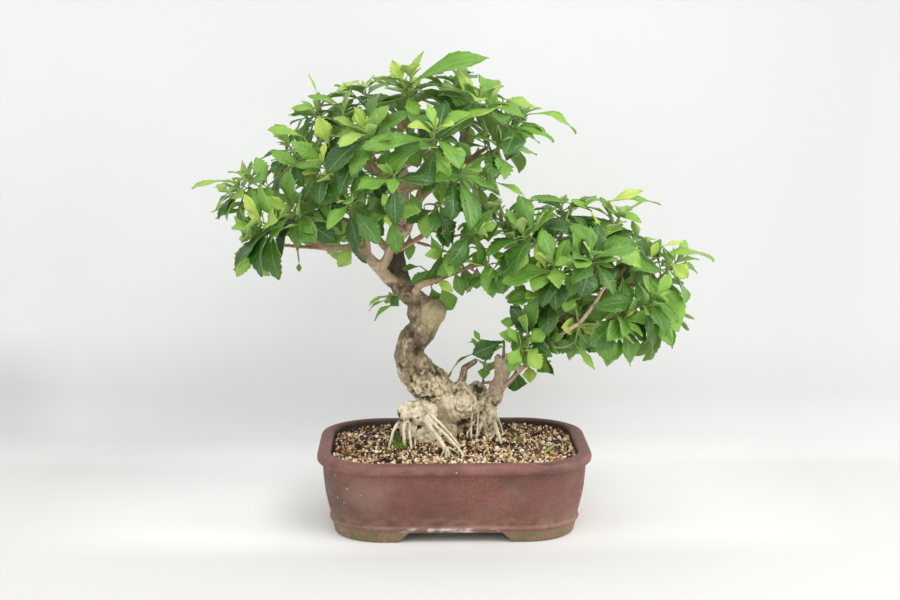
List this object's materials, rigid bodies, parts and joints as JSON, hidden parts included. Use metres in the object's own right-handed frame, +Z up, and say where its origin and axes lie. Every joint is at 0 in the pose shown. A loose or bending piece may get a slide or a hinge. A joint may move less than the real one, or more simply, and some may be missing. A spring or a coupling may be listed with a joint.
{
  "type": "duranta bonsai",
  "caption": "Old bonsai tree with an S-bent trunk, bared roots, a domed leafy crown and a lower leafy pad, planted in a low rounded rectangular stoneware pot.",
  "frame": {"origin": "bottom centre of the whole object's box, on the surface the pot stands on", "axes": "+Z up, +X towards the lower leafy pad at the viewer's right, along the pot's long side, -Y towards the viewer"},
  "size_m": [0.4584, 0.2654, 0.4511],
  "materials": {
    "stoneware": "unglazed brown-red stoneware with pale lime stains",
    "soil": "mixed tan, brown and cream granules",
    "drain_mesh": "black plastic mesh",
    "bark": "pale rough bark, cream on the bared roots",
    "leaf": "glossy green leaves, yellower at the shoot tips"
  },
  "bodies": {
    "root": {"pot": "stoneware", "soil": "soil", "drain_mesh_left": "drain_mesh", "drain_mesh_right": "drain_mesh", "trunk_branches_and_roots": "bark", "leafy_shoot_01": "leaf", "leafy_shoot_02": "leaf", "leafy_shoot_03": "leaf", "leafy_shoot_04": "leaf", "leafy_shoot_05": "leaf", "leafy_shoot_06": "leaf", "leafy_shoot_07": "leaf", "leafy_shoot_08": "leaf", "leafy_shoot_09": "leaf", "leafy_shoot_10": "leaf", "leafy_shoot_11": "leaf", "leafy_shoot_12": "leaf", "leafy_shoot_13": "leaf", "leafy_shoot_14": "leaf", "leafy_shoot_15": "leaf", "leafy_shoot_16": "leaf", "leafy_shoot_17": "leaf", "leafy_shoot_18": "leaf", "leafy_shoot_19": "leaf", "leafy_shoot_20": "leaf", "leafy_shoot_21": "leaf", "leafy_shoot_22": "leaf", "leafy_shoot_23": "leaf", "leafy_shoot_24": "leaf", "leafy_shoot_25": "leaf", "leafy_shoot_26": "leaf", "leafy_shoot_27": "leaf", "leafy_shoot_28": "leaf", "leafy_shoot_29": "leaf", "leafy_shoot_30": "leaf", "leafy_shoot_31": "leaf", "leafy_shoot_32": "leaf", "leafy_shoot_33": "leaf", "leafy_shoot_34": "leaf", "leafy_shoot_35": "leaf", "leafy_shoot_36": "leaf", "leafy_shoot_37": "leaf", "leafy_shoot_38": "leaf", "leafy_shoot_39": "leaf", "leafy_shoot_40": "leaf", "leafy_shoot_41": "leaf", "leafy_shoot_42": "leaf", "leafy_shoot_43": "leaf", "leafy_shoot_44": "leaf", "leafy_shoot_45": "leaf", "leafy_shoot_46": "leaf", "leafy_shoot_47": "leaf", "leafy_shoot_48": "leaf", "leafy_shoot_49": "leaf", "leafy_shoot_50": "leaf", "leafy_shoot_51": "leaf", "leafy_shoot_52": "leaf", "leafy_shoot_53": "leaf", "leafy_shoot_54": "leaf", "leafy_shoot_55": "leaf"}
  },
  "joints": []
}
